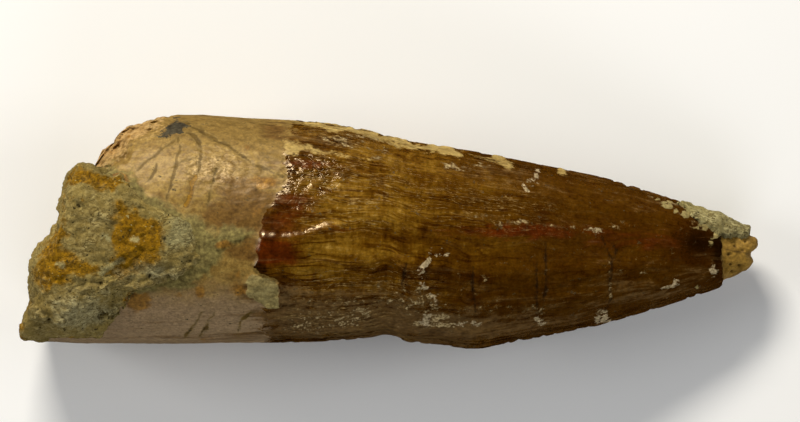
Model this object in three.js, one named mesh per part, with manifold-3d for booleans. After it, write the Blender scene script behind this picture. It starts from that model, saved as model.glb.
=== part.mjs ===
// Fossil tooth of a large fish-eating dinosaur, lying on its flank: a tall conical crown whose enamel
// ends in a ragged margin, a beige root broken off obliquely, the lump of sandstone that still encloses
// the end of the root, and a thin crust of the same stone round the worn tip.
//
// Millimetres. +X runs from the root to the tip, +Y from the rear cutting edge to the front one, +Z up.
// The origin is the middle of the footprint, on the surface that the tooth lies on.

import * as THREE from "three";
import { mergeVertices } from "three/addons/utils/BufferGeometryUtils.js";
import Module from "manifold-3d";

// ---- Driving dimensions --------------------------------------------------------------------------

const LENGTH = 100; // broken root to worn tip
const THICKNESS = 26.5; // flank to flank at the base of the crown
const ENAMEL = 0.4; // step where the enamel ends
const SEATING_GAP = 0.3; // between the tooth and the stone that clings to it
const STONE_PROUD = [1.9, 0.8]; // how far the stone stands above the root: at the lump, and at its end
const LEDGE_PROUD = 1.0; // the same for the thinner stone below its ledge
const CRUST_PROUD = [0.4, 0.8]; // the same for the crust at the tip, from its start to its thick part

const FLUTES = 14; // low ribs round the crown
const FLUTE_DEPTH = 0.25;
const CARINA_HEIGHT = 0.4; // ridge along each cutting edge
const REST_DEPTH = 0.35; // how much of the belly is worn flat where it lies
const SECTION_POWER = 2.2; // 2 is an ellipse, and more is fuller at the corners

const SEGMENTS = 56; // vertices round the tooth
const SHARE = LENGTH / 100; // outlines are in hundredths of the length

// ---- Outlines ------------------------------------------------------------------------------------

// Seen from above, each [x, y]: the front edge curves down to the tip, the rear one is nearly straight.
const FRONT_EDGE = [
  [-39.8, 9.6], [-38.4, 12.0], [-36.4, 14.1], [-33, 15.3], [-27, 15.7], [-20, 15.25], [-12, 14.9],
  [-5.7, 14.1], [2.4, 12.2], [10.5, 10.85], [20, 9.05], [25.3, 7.9], [30.7, 6.65], [36, 5.05], [38.8, 4.2],
  [41.5, 3.0], [44.4, 1.9], [47, 0.5], [48.6, -0.1], [50, -0.4],
];
const REAR_EDGE = [
  [-47.6, -14.6], [-44, -15.0], [-18, -15.05], [-8, -14.8], [-3, -14.4], [-0.6, -14.0], [2.4, -15.0],
  [6.5, -15.3], [11, -15.95], [15, -15.3], [22.6, -13.9], [28, -12.85], [33.4, -11.3], [38.8, -9.6],
  [42, -8.55], [44.6, -7.6], [45.1, -7.1], [47, -6.3], [50, -5.1],
];
// From the side, each [x, height] as a share of the thickness: the upper flank, and the lower one.
const CREST = [
  [-44, 0.95], [-34, 0.99], [-22, 1.01], [-12, 0.99], [0, 0.91], [12, 0.78], [24, 0.63], [36, 0.47],
  [44, 0.37], [50, 0.3],
];
const BELLY = [
  [-44, 0], [6, 0], [16, 0.01], [26, 0.035], [36, 0.07], [44, 0.105], [50, 0.135],
];
// Where the enamel begins on the upper flank, as [y, x] from the rear edge to the front edge.
const UPPER_MARGIN = [
  [-15.5, -16.7], [-12.6, -17.0], [-10.3, -16.8], [-10.1, -15.1], [-6.3, -15.1], [-5.9, -17.6],
  [-3.6, -18.2], [-1, -17.4], [0.4, -17.2], [3.5, -16.7], [5.6, -15.3], [9.0, -14.5], [10.3, -12.6],
  [11.8, -13.8], [15.5, -14.7],
];
// The same on the lower flank.
const LOWER_MARGIN = [
  [-15.5, -16.7], [-9, -17.8], [-5, -15.6], [0, -16.9], [5, -18.0], [10, -15.6], [15.5, -14.7],
];
const ENAMEL_END = 44.8; // the enamel is snapped off square here, and the core of the tip shows
const TIP_ROUND_FROM = 48.3; // the bare core rounds off from here
const TIP_END = 50;
const TIP_SLANT = 0.2; // the end of the core leans, and reaches furthest towards the front edge
const NOTCH = { y: -3.1, depth: 0.9, halfWidth: 0.7 }; // split in the end of the core

// The root is broken off along a slant: its rear edge reaches further back than its front edge.
const ROOT_END = -43.6;
const ROOT_SLANT = 4.0;
const ROOT_SLANT_ENDS = -27;
// The front corner of the broken root: its jagged line, and the ledges that its layers leave, each
// [how far in from the line, from what height up].
const BREAK_LINE = [
  [-42.0, 8.0], [-40.1, 9.8], [-38.9, 10.8], [-37.0, 12.0], [-36.7, 12.9], [-35.8, 13.9], [-32.7, 14.8],
  [-30.2, 15.3], [-27.6, 15.8],
];
const BREAK_LEDGES = [[0, -5], [0.9, 17.0], [2.0, 20.0], [3.2, 22.0]];
const BREAK_FADES = -27.5; // the ledges run out towards here

// Thick stone over the upper flank of the root, and the thinner part below its ledge, each [x, y].
const STONE_OUTLINE = [
  [-47, -9.4], [-40, -7.9], [-36, -8.0], [-29, -8.3], [-25.8, -6.4], [-23.6, -3.2], [-24.6, 0.6],
  [-28.6, 2.7], [-32.8, 3.9], [-34.4, 6.2], [-35.6, 7.9], [-39, 9.0], [-47, 9.0],
];
const LEDGE_OUTLINE = [
  [-47, -14.3], [-38.6, -14.3], [-37.4, -12.6], [-35.6, -10.6], [-34.2, -8.2], [-36, -6.5], [-47, -6.5],
];
// Stone on the lower flank.
const UNDER_OUTLINE = [
  [-47, -14.3], [-38.5, -14.3], [-35, -11.5], [-29.5, -6.5], [-28.5, 0], [-32.5, 5.0], [-36.5, 8.4],
  [-47, 8.4],
];
// The lump round the end of the root, seen from above: a closed outline, each [x, y].
const LUMP_OUTLINE = [
  [-39.0, 8.3], [-40.2, 9.2], [-42.3, 9.0], [-44.1, 7.3], [-44.8, 4.4], [-45.0, 1.3], [-45.9, 0.2],
  [-47.0, -0.9], [-48.5, -2.4], [-48.9, -3.8], [-48.8, -5.8], [-48.9, -9.0], [-49.4, -11.2],
  [-50.0, -13.1], [-49.6, -14.3], [-47.4, -15.0], [-43, -14.9], [-40.2, -14.2], [-37.4, -11.5], [-34, -6],
  [-33.5, 0], [-35.5, 5.5],
];
const LUMP_CENTRE = [-40.5, -4];
const LUMP_BASE = -0.6; // the stone is worn flat below the surface that it lies on
const LUMP_TOP = 26.9;
const LUMP_POWER = 0.46; // 1 is an ellipsoid, and less is squarer
const LUMP_RELIEF = 0.6; // hollows and swells of its surface
const LUMP_HOLLOW = 0.17; // how far its broken faces lean in above and below their crest, as a share
// Crust at the tip, over the front edge, each [x, y].
const CRUST_OUTLINE = [
  [38.2, 7], [38.4, 4.0], [40.2, 2.6], [41.4, 1.6], [42.4, 0.5], [43.6, -0.3], [45.2, -0.8],
  [48.6, -0.9], [49.4, 0.6], [49.4, 7],
];
const CRUST_FROM_HEIGHT = 3.2; // it wraps round the edge, down to here

// ---- Curves --------------------------------------------------------------------------------------

const { clamp, smoothstep, mapLinear } = THREE.MathUtils;

// A smooth height over a station, through [station, value] points.
function curveThrough(points) {
  const stations = points.map(([station]) => station);
  const spline = new THREE.CatmullRomCurve3(
    points.map(([station, value]) => new THREE.Vector3(station, value, 0)),
    false,
    "centripetal",
  );
  const last = points.length - 1;
  return (x) => {
    const station = clamp(x, stations[0], stations[last]);
    const span = Math.min(last - 1, Math.max(0, stations.findIndex((s) => s > station) - 1));
    let [low, high] = [span / last, (span + 1) / last];
    if (station >= stations[last]) return points[last][1];
    for (let step = 0; step < 24; step++) {
      const middle = (low + high) / 2;
      if (spline.getPoint(middle).x < station) low = middle;
      else high = middle;
    }
    return spline.getPoint((low + high) / 2).y;
  };
}

// Straight lines between [station, value] points.
function linesThrough(points) {
  return (x) => {
    const next = points.findIndex(([station]) => station > x);
    if (next === 0) return points[0][1];
    if (next < 0) return points[points.length - 1][1];
    const [from, to] = [points[next - 1], points[next]];
    return mapLinear(x, from[0], to[0], from[1], to[1]);
  };
}

const frontEdge = curveThrough(FRONT_EDGE);
const rearEdge = curveThrough(REAR_EDGE);
const crest = curveThrough(CREST);
const belly = curveThrough(BELLY);
const upperMargin = linesThrough(UPPER_MARGIN);
const lowerMargin = linesThrough(LOWER_MARGIN);
const signedPower = (value, power) => Math.sign(value) * Math.abs(value) ** power;

// ---- Rings of the tooth --------------------------------------------------------------------------

const MARGIN_MIDDLE = -16.2; // mean station of the enamel's margin
const MARGIN_STEP = 0.2; // half the run of the step at the margin
const MARGIN_REACH = 9; // rings this near to the margin bend towards it

// One ring: its station, whether it carries enamel, how far it has closed towards its middle, and how
// far it follows the ragged margin.
const ring = (x, enamel, scale = 1, bend = 0) => ({ x, enamel, scale, bend });
const evenly = (from, to, count, make) =>
  Array.from({ length: count }, (_, i) => make(from + ((to - from) * i) / (count - 1)));
const marginBend = (x) => 1 - smoothstep(Math.abs(x - MARGIN_MIDDLE), 0, MARGIN_REACH);
const roundedEnd = (turn) =>
  ring(
    TIP_ROUND_FROM + (TIP_END - TIP_ROUND_FROM) * Math.sin((turn * Math.PI) / 2),
    false,
    Math.cos((turn * Math.PI) / 2) ** 0.8,
  );

const RINGS = [
  ring(ROOT_END, false, 0),
  ring(ROOT_END + 0.2, false, 0.6),
  ...evenly(ROOT_END + 0.4, MARGIN_MIDDLE - 2.2, 10, (x) => ring(x, false, 1, marginBend(x))),
  ring(MARGIN_MIDDLE - MARGIN_STEP, false, 1, 1),
  ring(MARGIN_MIDDLE + MARGIN_STEP, true, 1, 1),
  ...evenly(MARGIN_MIDDLE + 2.2, ENAMEL_END - MARGIN_STEP, 18, (x) => ring(x, true, 1, marginBend(x))),
  ring(ENAMEL_END + MARGIN_STEP, false),
  ring(46.6, false),
  ...evenly(0, 0.9, 5, roundedEnd),
  ring(TIP_END, false, 0),
];

// Flutes sink into the crown between its ribs, and fade at both ends.
function flute(x, angle) {
  const onCrown = smoothstep(x, -16, -8) * (1 - smoothstep(x, 30, 42));
  const offTheEdges = smoothstep(Math.abs(Math.sin(angle)), 0.1, 0.4);
  return FLUTE_DEPTH * (0.5 - 0.5 * Math.cos(FLUTES * angle)) * onCrown * offTheEdges;
}

// The flanks stand back from the ridge along each cutting edge.
function behindCarina(x, angle) {
  const onBlade = smoothstep(x, -30, -12) * (1 - smoothstep(x, 40, 48));
  return CARINA_HEIGHT * (1 - Math.exp(-((Math.sin(angle) / 0.07) ** 2))) * onBlade;
}

// The point at one angle of the section at x, grown outwards. Angle 0 is the front cutting edge.
function sectionPoint(x, { enamel, scale }, angle, grown) {
  const slant = ROOT_SLANT * (1 - smoothstep(x, ROOT_END, ROOT_SLANT_ENDS));
  const bare = enamel ? 0 : ENAMEL;
  const [front, rear] = [frontEdge(x + slant), rearEdge(x - slant)];
  const top = crest(x) * THICKNESS - bare;
  const bottom = belly(x) * THICKNESS - REST_DEPTH + (x > 0 ? bare : 0);
  const halfWidth = ((front - rear) / 2 + grown - behindCarina(x, angle)) * scale;
  const halfHeight = ((top - bottom) / 2 + grown - flute(x, angle)) * scale;
  const across = signedPower(Math.cos(angle), 2 / SECTION_POWER);
  const up = signedPower(Math.sin(angle), 2 / SECTION_POWER);
  return {
    x: x + slant * Math.cos(angle) * scale,
    y: (front + rear) / 2 + halfWidth * across,
    z: (top + bottom) / 2 + halfHeight * up,
  };
}

// How a grown copy of the tooth moves past its own ends.
const pastEnds = (x) => smoothstep(x, TIP_ROUND_FROM, TIP_END) - (1 - smoothstep(x, ROOT_END, ROOT_END + 2));

// A point of the tooth's surface, grown outwards: its ring is bent to the margin, then worn flat below.
function toothPoint(ring, angle, grown) {
  const margin = Math.sin(angle) > 0 ? upperMargin : lowerMargin;
  const straight = sectionPoint(ring.x, ring, angle, grown);
  const bend = ring.bend * (margin(straight.y) - MARGIN_MIDDLE);
  const point = sectionPoint(ring.x + bend, ring, angle, grown);
  const notch = NOTCH.depth * Math.exp(-(((point.y - NOTCH.y) / NOTCH.halfWidth) ** 2));
  const end = (TIP_SLANT * (point.y - NOTCH.y) - notch) * smoothstep(ring.x, 47.6, TIP_END);
  const x = point.x + grown * pastEnds(ring.x) + end;
  return new THREE.Vector3(x, point.y, Math.max(point.z, -grown)).multiplyScalar(SHARE);
}

// ---- Solids --------------------------------------------------------------------------------------

const wasm = await Module();
wasm.setup();

// Moves the rings of a sphere, from pole to pole, to where place(row, column) says.
function wrapped(rows, columns, place) {
  const geometry = new THREE.SphereGeometry(1, columns, rows);
  const position = geometry.getAttribute("position");
  for (let row = 0; row <= rows; row++) {
    for (let column = 0; column <= columns; column++) {
      const point = place(row, column % columns);
      position.setXYZ(row * (columns + 1) + column, point.x, point.y, point.z);
    }
  }
  return geometry;
}

function solidOf(geometry) {
  const bare = new THREE.BufferGeometry();
  bare.setAttribute("position", geometry.getAttribute("position"));
  bare.setIndex(geometry.index);
  const merged = mergeVertices(bare, 1e-4);
  return new wasm.Manifold(
    new wasm.Mesh({
      numProp: 3,
      vertProperties: new Float32Array(merged.attributes.position.array),
      triVerts: new Uint32Array(merged.index.array),
    }),
  );
}

function geometryOf(solid) {
  const { numProp, vertProperties, triVerts } = solid.getMesh();
  const count = vertProperties.length / numProp;
  const position = new Float32Array(count * 3);
  for (let i = 0; i < count; i++) position.set(vertProperties.subarray(i * numProp, i * numProp + 3), i * 3);
  const geometry = new THREE.BufferGeometry();
  geometry.setAttribute("position", new THREE.BufferAttribute(position, 3));
  geometry.setIndex(new THREE.BufferAttribute(new Uint32Array(triVerts), 1));
  geometry.computeVertexNormals();
  return geometry;
}

// The tooth, grown outwards by what growth(station) gives.
function toothSolid(growth = () => 0) {
  return solidOf(
    wrapped(RINGS.length - 1, SEGMENTS, (row, column) =>
      toothPoint(RINGS[row], (-column / SEGMENTS) * Math.PI * 2, growth(RINGS[row].x)),
    ),
  );
}

// An upright prism on an outline seen from above, between two heights.
function prism(outline, from, to) {
  const shape = new THREE.Shape(outline.map(([x, y]) => new THREE.Vector2(x, y).multiplyScalar(SHARE)));
  const geometry = new THREE.ExtrudeGeometry(shape, { depth: (to - from) * SHARE, bevelEnabled: false });
  return solidOf(geometry.translate(0, 0, from * SHARE));
}

// Breaks the front corner off the root, and leaves the ledges of its layers.
function brokenRoot(solid) {
  return BREAK_LEDGES.reduce((rest, [inset, from]) => {
    const outside = BREAK_LINE.map(([x, y]) => [x - 6, y + 8]).reverse();
    const inside = BREAK_LINE.map(([x, y]) => {
      const depth = inset * smoothstep(BREAK_FADES - x, 0, 7);
      return [x + 0.45 * depth, y - 0.9 * depth];
    });
    return rest.subtract(prism([...inside, ...outside], from, 40));
  }, solid);
}

// The lump of sandstone: rings of its outline that draw in towards the top and the bottom.
function lumpSolid() {
  const [rows, columns] = [16, LUMP_OUTLINE.length * 3];
  const outline = new THREE.CatmullRomCurve3(
    LUMP_OUTLINE.map(([x, y]) => new THREE.Vector3(x, y, 0)),
    true,
    "centripetal",
  );
  const geometry = wrapped(rows, columns, (row, column) => {
    const edge = outline.getPoint(column / columns);
    const level = signedPower(Math.cos((row / rows) * Math.PI), 0.8);
    const scale = signedPower(1 - Math.abs(level) ** (2 / LUMP_POWER), LUMP_POWER / 2);
    const turn = (column / columns) * Math.PI * 2;
    const crestLevel = 0.35 * Math.sin(2 * turn + 1) + 0.3 * Math.sin(5 * turn) - 0.1;
    const leaning = 1 - Math.exp(-(((level - crestLevel) / 0.7) ** 2));
    const drawn = scale * (1 - LUMP_HOLLOW * leaning * (0.7 + 0.3 * Math.sin(7 * turn + 6 * level)));
    const x = LUMP_CENTRE[0] + (edge.x - LUMP_CENTRE[0]) * drawn;
    const y = LUMP_CENTRE[1] + (edge.y - LUMP_CENTRE[1]) * drawn;
    const lift = LUMP_RELIEF * 0.5 * (Math.sin(0.9 * x + 0.3 * y) + Math.sin(0.8 * y - 0.4 * x));
    const z = (LUMP_TOP + LUMP_BASE) / 2 + ((LUMP_TOP - LUMP_BASE) / 2) * level;
    return new THREE.Vector3(x, y, z + lift * (1 - scale ** 4)).multiplyScalar(SHARE);
  });
  return solidOf(geometry);
}

const always = (amount) => () => amount;
const changing = ([first, last], from, to) => (x) =>
  mapLinear(clamp(x, from, to), from, to, first, last);
const stoneOver = (outline, proud, from, to) => toothSolid(proud).intersect(prism(outline, from, to));

const aboveFloor = prism([[-60, -30], [60, -30], [60, 30], [-60, 30]], 0, 60);
const seat = toothSolid(always(SEATING_GAP)); // the tooth with the clearance that the stone keeps
const tooth = brokenRoot(toothSolid());
const stone = lumpSolid()
  .add(stoneOver(STONE_OUTLINE, changing(STONE_PROUD, -38, -24), 13, 40))
  .add(stoneOver(LEDGE_OUTLINE, always(LEDGE_PROUD), 13, 40))
  .add(stoneOver(UNDER_OUTLINE, always(LEDGE_PROUD), -5, 13))
  .intersect(aboveFloor)
  .subtract(seat);
const crust = stoneOver(CRUST_OUTLINE, changing(CRUST_PROUD, 38, 43), CRUST_FROM_HEIGHT, 40).subtract(seat);

// ---- Materials and the group ---------------------------------------------------------------------

const finish = (color, roughness) => new THREE.MeshStandardMaterial({ color, roughness, metalness: 0 });
const fossilTooth = finish("#6a4520", 0.42);
const sandstone = finish("#8a7440", 0.95);

const group = new THREE.Group();
function piece(name, solid, material) {
  const mesh = new THREE.Mesh(geometryOf(solid), material);
  mesh.name = name;
  group.add(mesh);
}
piece("tooth", tooth, fossilTooth);
piece("root_stone", stone, sandstone);
piece("tip_crust", crust, sandstone);

export default group;
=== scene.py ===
# Fossil tooth of a large fish-eating dinosaur: how it looks. The tooth, the lump of sandstone on its root
# and the crust of the same stone at its tip are dense meshes on the forms that the solids have, with relief
# worked into them, and each has a material made of layers. Lengths below are millimetres, as in the solids.

import math

import bmesh
import bpy
import numpy as np
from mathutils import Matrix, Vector, noise
from mathutils.bvhtree import BVHTree


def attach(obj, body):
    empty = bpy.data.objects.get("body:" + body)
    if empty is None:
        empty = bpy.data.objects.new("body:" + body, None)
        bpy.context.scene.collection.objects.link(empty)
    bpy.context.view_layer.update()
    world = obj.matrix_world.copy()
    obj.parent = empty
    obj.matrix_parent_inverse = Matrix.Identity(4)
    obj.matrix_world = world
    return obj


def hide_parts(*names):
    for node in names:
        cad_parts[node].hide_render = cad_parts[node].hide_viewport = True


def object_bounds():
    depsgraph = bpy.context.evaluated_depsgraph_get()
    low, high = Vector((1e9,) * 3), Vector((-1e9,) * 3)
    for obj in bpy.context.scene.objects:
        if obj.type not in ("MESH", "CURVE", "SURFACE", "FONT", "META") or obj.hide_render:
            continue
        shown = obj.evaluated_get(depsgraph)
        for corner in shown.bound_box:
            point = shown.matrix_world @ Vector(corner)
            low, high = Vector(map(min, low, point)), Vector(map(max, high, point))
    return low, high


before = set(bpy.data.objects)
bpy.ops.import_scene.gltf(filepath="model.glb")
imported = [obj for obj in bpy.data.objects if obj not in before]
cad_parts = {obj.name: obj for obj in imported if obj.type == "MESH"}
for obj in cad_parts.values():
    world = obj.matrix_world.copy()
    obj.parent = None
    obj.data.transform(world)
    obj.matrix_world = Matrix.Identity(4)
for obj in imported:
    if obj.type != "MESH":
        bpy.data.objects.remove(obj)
cad_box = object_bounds()
scene = bpy.context.scene
MM = 0.001
box_low, box_high = [np.array(corner) / MM for corner in cad_box]

# ---- Camera and light ----

VIEW_WIDTH = 107.8  # what the picture's width takes in, at the tooth's mid height
LENS, SENSOR = 300, 36
AIM = (1.1, 2.7, 13)

camera = bpy.data.objects.new("camera", bpy.data.cameras.new("camera"))
camera.data.lens = LENS
camera.data.sensor_width = SENSOR
camera.data.clip_end = 10
camera.location = (AIM[0] * MM, AIM[1] * MM, (AIM[2] + VIEW_WIDTH * LENS / SENSOR) * MM)
scene.collection.objects.link(camera)
scene.camera = camera
scene.view_settings.view_transform = "Standard"


def linear(hex_colour):
    """An sRGB hex value as the linear colour that a socket takes."""
    values = [int(hex_colour[i : i + 2], 16) / 255 for i in (1, 3, 5)]
    return (*[v / 12.92 if v <= 0.04045 else ((v + 0.055) / 1.055) ** 2.4 for v in values], 1)


def add(tree, kind, inputs=None, **settings):
    """Adds a shader node with its settings, and links or fills its inputs."""
    made = tree.nodes.new("ShaderNode" + kind)
    for name, value in settings.items():
        setattr(made, name, value)
    for key, value in (inputs or {}).items():
        if isinstance(value, bpy.types.NodeSocket):
            tree.links.new(value, made.inputs[key])
        else:
            made.inputs[key].default_value = linear(value) if isinstance(value, str) else value
    return made


def lamp(name, place, size, power, colour):
    """A softbox that faces the tooth. Only the key and the left one show in its gloss."""
    light = bpy.data.lights.new(name, "AREA")
    light.shape = "RECTANGLE"
    light.size, light.size_y = size[0] * MM, size[1] * MM
    light.energy = power
    light.color = linear(colour)[:3]
    made = bpy.data.objects.new(name, light)
    made.location = Vector(place) * MM
    made.rotation_euler = (Vector((0, 0, 10)) - Vector(place)).to_track_quat("-Z", "Y").to_euler()
    made.visible_glossy = name in ("key", "left")
    scene.collection.objects.link(made)


lamp("key", (-130, 430, 310), (220, 90), 3.3, "#fff9ee")
lamp("left", (-520, 60, 330), (260, 260), 1.2, "#ffffff")
lamp("right", (540, 40, 330), (260, 260), 0.9, "#ffffff")
lamp("low", (60, -480, 300), (420, 160), 0.9, "#f6f8ff")
world = bpy.data.worlds.new("room")
scene.world = world
world.use_nodes = True
world.node_tree.nodes["Background"].inputs[0].default_value = linear("#f4f4f2")
world.node_tree.nodes["Background"].inputs[1].default_value = 0.09
world.cycles_visibility.glossy = False

# ---- Shapes and noise ----


def smooth(values, low, high):
    """0 below low, 1 above high, and an even curve between them."""
    t = np.clip((values - low) / (high - low), 0, 1)
    return t * t * (3 - 2 * t)


def curve_through(points):
    """A smooth curve of a value over stations, through (station, value) points."""
    p = np.array(points, float)
    p = np.vstack([2 * p[0] - p[1], p, 2 * p[-1] - p[-2]])
    path = []
    for a, b, c, d in zip(p, p[1:], p[2:], p[3:]):
        near, span, far = [math.dist(u, v) ** 0.5 for u, v in ((a, b), (b, c), (c, d))]
        leave = ((b - a) / near - (c - a) / (near + span) + (c - b) / span) * span
        arrive = ((c - b) / span - (d - b) / (span + far) + (d - c) / far) * span
        t = np.linspace(0, 1, 24, endpoint=False)[:, None]
        square = 3 * (c - b) - 2 * leave - arrive
        cube = 2 * (b - c) + leave + arrive
        path.append(b + leave * t + square * t**2 + cube * t**3)
    path = np.vstack(path + [p[-2:-1]])
    return lambda x: np.interp(x, path[:, 0], path[:, 1])


def to_line(place, line, width=0.0):
    """How far each place, seen from above, lies from a line of points, less half the line's own width, which
    tapers at its ends."""
    best = np.full(len(place), 1e9)
    for number, (a, b) in enumerate(zip(np.array(line, float), np.array(line[1:], float))):
        along = np.clip(((place - a) @ (b - a)) / max((b - a) @ (b - a), 1e-9), 0, 1)
        taper = np.sin(math.pi * np.clip((number + along) / (len(line) - 1), 0.06, 0.94)) ** 0.6
        best = np.minimum(best, np.linalg.norm(place - a - along[:, None] * (b - a), axis=1) - width * taper)
    return best


def to_lines(place, lines, width=0.0):
    """How far each place lies from the nearest of some lines, all of one width."""
    return np.min([to_line(place, line, width) for line in lines], axis=0)


def to_points(place, points):
    """How far each place lies from the nearest of some points."""
    return np.min([np.linalg.norm(place - point, axis=1) for point in points], axis=0)


def in_dots(place, dots, squash=(1, 1)):
    """How far each place lies inside the nearest of some dots, each (x, y, radius)."""
    return np.max([r - np.linalg.norm((place - (x, y)) * squash, axis=1) for x, y, r in dots], axis=0)


def within(place, outline):
    """How far each place lies inside a closed outline, and below 0 outside it."""
    closed = list(outline) + [outline[0]]
    inside = np.zeros(len(place), bool)
    for (ax, ay), (bx, by) in zip(closed, closed[1:]):
        if ay != by:
            crosses = (place[:, 1] > ay) != (place[:, 1] > by)
            inside ^= crosses & (place[:, 0] < ax + (place[:, 1] - ay) * (bx - ax) / (by - ay))
    return np.where(inside, 1, -1) * to_line(place, closed)


def edge_at(place, edge):
    """The station at which an edge crosses the tooth, beside each place."""
    return np.interp(-place[:, 1], [-y for _, y in edge], [x for x, _ in edge])


def spots(place, blobs):
    """The sum of soft round spots, each (x, y, radius along, radius across, strength)."""
    summed = np.zeros(len(place))
    for x, y, along, across, strength in blobs:
        summed += strength * np.exp(-(((place[:, 0] - x) / along) ** 2) - ((place[:, 1] - y) / across) ** 2)
    return summed


def clouds(points, size, octaves, shift):
    """Fractal noise, about -1 to 1, with its largest lumps as many millimetres as size."""
    scaled = points / np.array(size) + shift
    return np.array([noise.fractal(Vector(p), 0.9, 2.0, octaves) for p in scaled])


def wandering(points, size, octaves, shifts):
    """Two noises side by side, by which places stray."""
    return np.stack([clouds(points, size, octaves, shift) for shift in shifts], axis=1)


def get(mesh, name):
    """A vector of each vertex, such as its place or its normal."""
    values = np.empty(len(mesh.vertices) * 3)
    mesh.vertices.foreach_get(name, values)
    return values.reshape(-1, 3)


def put(mesh, points):
    """Moves each vertex to a place in millimetres."""
    mesh.vertices.foreach_set("co", (points * MM).astype(np.float32).ravel())
    mesh.update()


def write(mesh, fields):
    """Keeps one number, or three, for each vertex under each name, for a material to read."""
    for name, values in fields.items():
        kind, key = ("FLOAT", "value") if values.ndim == 1 else ("FLOAT_VECTOR", "vector")
        layer = mesh.attributes.new(name, kind, "POINT")
        layer.data.foreach_set(key, values.astype(np.float32).ravel())


def piece(name, mesh, material, node):
    """A finished mesh as a piece of the object, which takes the place of a solid."""
    made = bpy.data.objects.new(name, mesh)
    scene.collection.objects.link(made)
    mesh.materials.clear()
    mesh.materials.append(material)
    mesh.shade_smooth()
    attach(made, "root")
    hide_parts(node)


# ---- The tooth's form, with the solids' own dimensions ----

THICKNESS, ENAMEL, REST_DEPTH, SECTION_POWER = 26.5, 0.4, 0.35, 2.2
FLUTES, FLUTE_DEPTH, CARINA_HEIGHT = 14, 0.25, 0.4
ROOT_END, ROOT_SLANT, ROOT_SLANT_ENDS = -43.6, 4.0, -27
ENAMEL_END, TIP_ROUND_FROM, TIP_END = 44.8, 48.3, 50
TIP_SLANT, NOTCH_Y, NOTCH_DEPTH, NOTCH_HALF_WIDTH = 0.2, -3.1, 0.9, 0.7
FRONT_EDGE = [
    (-39.8, 9.6), (-38.4, 12), (-36.4, 14.1), (-33, 15.3), (-27, 15.7), (-20, 15.25), (-12, 14.9),
    (-5.7, 14.1), (2.4, 12.2), (10.5, 10.85), (20, 9.05), (25.3, 7.9), (30.7, 6.65), (36, 5.05),
    (38.8, 4.2), (41.5, 3), (44.4, 1.9), (47, 0.5), (48.6, -0.1), (50, -0.4),
]
REAR_EDGE = [
    (-47.6, -14.6), (-44, -15), (-18, -15.05), (-8, -14.8), (-3, -14.4), (-0.6, -14), (2.4, -15),
    (6.5, -15.3), (11, -15.95), (15, -15.3), (22.6, -13.9), (28, -12.85), (33.4, -11.3), (38.8, -9.6),
    (42, -8.55), (44.6, -7.6), (45.1, -7.1), (47, -6.3), (50, -5.1),
]
CREST = [
    (-44, 0.95), (-34, 0.99), (-22, 1.01), (-12, 0.99), (0, 0.91), (12, 0.78), (24, 0.63), (36, 0.47),
    (44, 0.37), (50, 0.3),
]
BELLY = [(-44, 0), (6, 0), (16, 0.01), (26, 0.035), (36, 0.07), (44, 0.105), (50, 0.135)]
BREAK_LINE = [
    (-42, 8), (-40.1, 9.8), (-38.9, 10.8), (-37, 12), (-36.7, 12.9), (-35.8, 13.9), (-32.7, 14.8),
    (-30.2, 15.3), (-27.6, 15.8),
]
front_edge, rear_edge, crest, belly = map(curve_through, (FRONT_EDGE, REAR_EDGE, CREST, BELLY))


def section(x, angle, scale):
    """Points of the tooth's sections at stations x. Angle 0 is the front cutting edge."""
    slant = ROOT_SLANT * (1 - smooth(x, ROOT_END, ROOT_SLANT_ENDS))
    front, rear = front_edge(x + slant), rear_edge(x - slant)
    top, bottom = crest(x) * THICKNESS, belly(x) * THICKNESS - REST_DEPTH
    blade = CARINA_HEIGHT * smooth(x, -30, -12) * (1 - smooth(x, 40, 48))
    behind = blade * (1 - np.exp(-((np.sin(angle) / 0.07) ** 2)))
    crown = smooth(x, -16, -8) * (1 - smooth(x, 30, 42))
    flute = FLUTE_DEPTH * (0.5 - 0.5 * np.cos(FLUTES * angle)) * crown * smooth(abs(np.sin(angle)), 0.1, 0.4)
    half_width = ((front - rear) / 2 - behind) * scale
    half_height = ((top - bottom) / 2 - flute) * scale
    across = np.sign(np.cos(angle)) * abs(np.cos(angle)) ** (2 / SECTION_POWER)
    up = np.sign(np.sin(angle)) * abs(np.sin(angle)) ** (2 / SECTION_POWER)
    return np.stack(
        [
            x + slant * np.cos(angle) * scale,
            (front + rear) / 2 + half_width * across,
            (top + bottom) / 2 + half_height * up,
        ],
        axis=1,
    )


# ---- What the weather and the quarry left on the tooth ----

# Where the enamel begins on the flank that faces up and on the lower one, and where it ends at the tip, each
# (x, y) from the front edge to the rear edge.
UPPER_MARGIN = [
    (-12, 16), (-12.4, 14.9), (-13.7, 14.2), (-13.2, 13.4), (-14.5, 12.8), (-14.1, 9.7), (-14.2, 8.9),
    (-14.2, 5.5), (-15.1, 5.2), (-15.4, 4.2), (-15.8, 3.5), (-16.6, 2.8), (-17, 2.2), (-17.2, 0.8),
    (-17.5, -0.2), (-17.8, -0.5), (-17.5, -0.9), (-17.8, -1.9), (-18.1, -2.9), (-17.8, -3.6), (-18.3, -4.1),
    (-18.5, -4.6), (-17.8, -5.1), (-17.5, -5.6), (-17, -5.9), (-15.4, -6.3), (-15.2, -6.8), (-15.1, -10),
    (-16.8, -10.1), (-17, -11), (-16.9, -11.7), (-16.8, -12.7), (-17, -13.3), (-17.3, -16),
]
LOWER_MARGIN = [
    (-12, 16), (-14.6, 11), (-17.2, 8), (-18.2, 5), (-17.4, 2), (-16.4, -1), (-15.4, -4.5), (-17.4, -8),
    (-17.9, -12), (-17.3, -16),
]
TIP_MARGIN = [(44.9, 6), (44.9, -0.7), (44.7, -1.2), (44.7, -2.6), (44.8, -4.2), (45, -5.5), (45.1, -9)]
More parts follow.
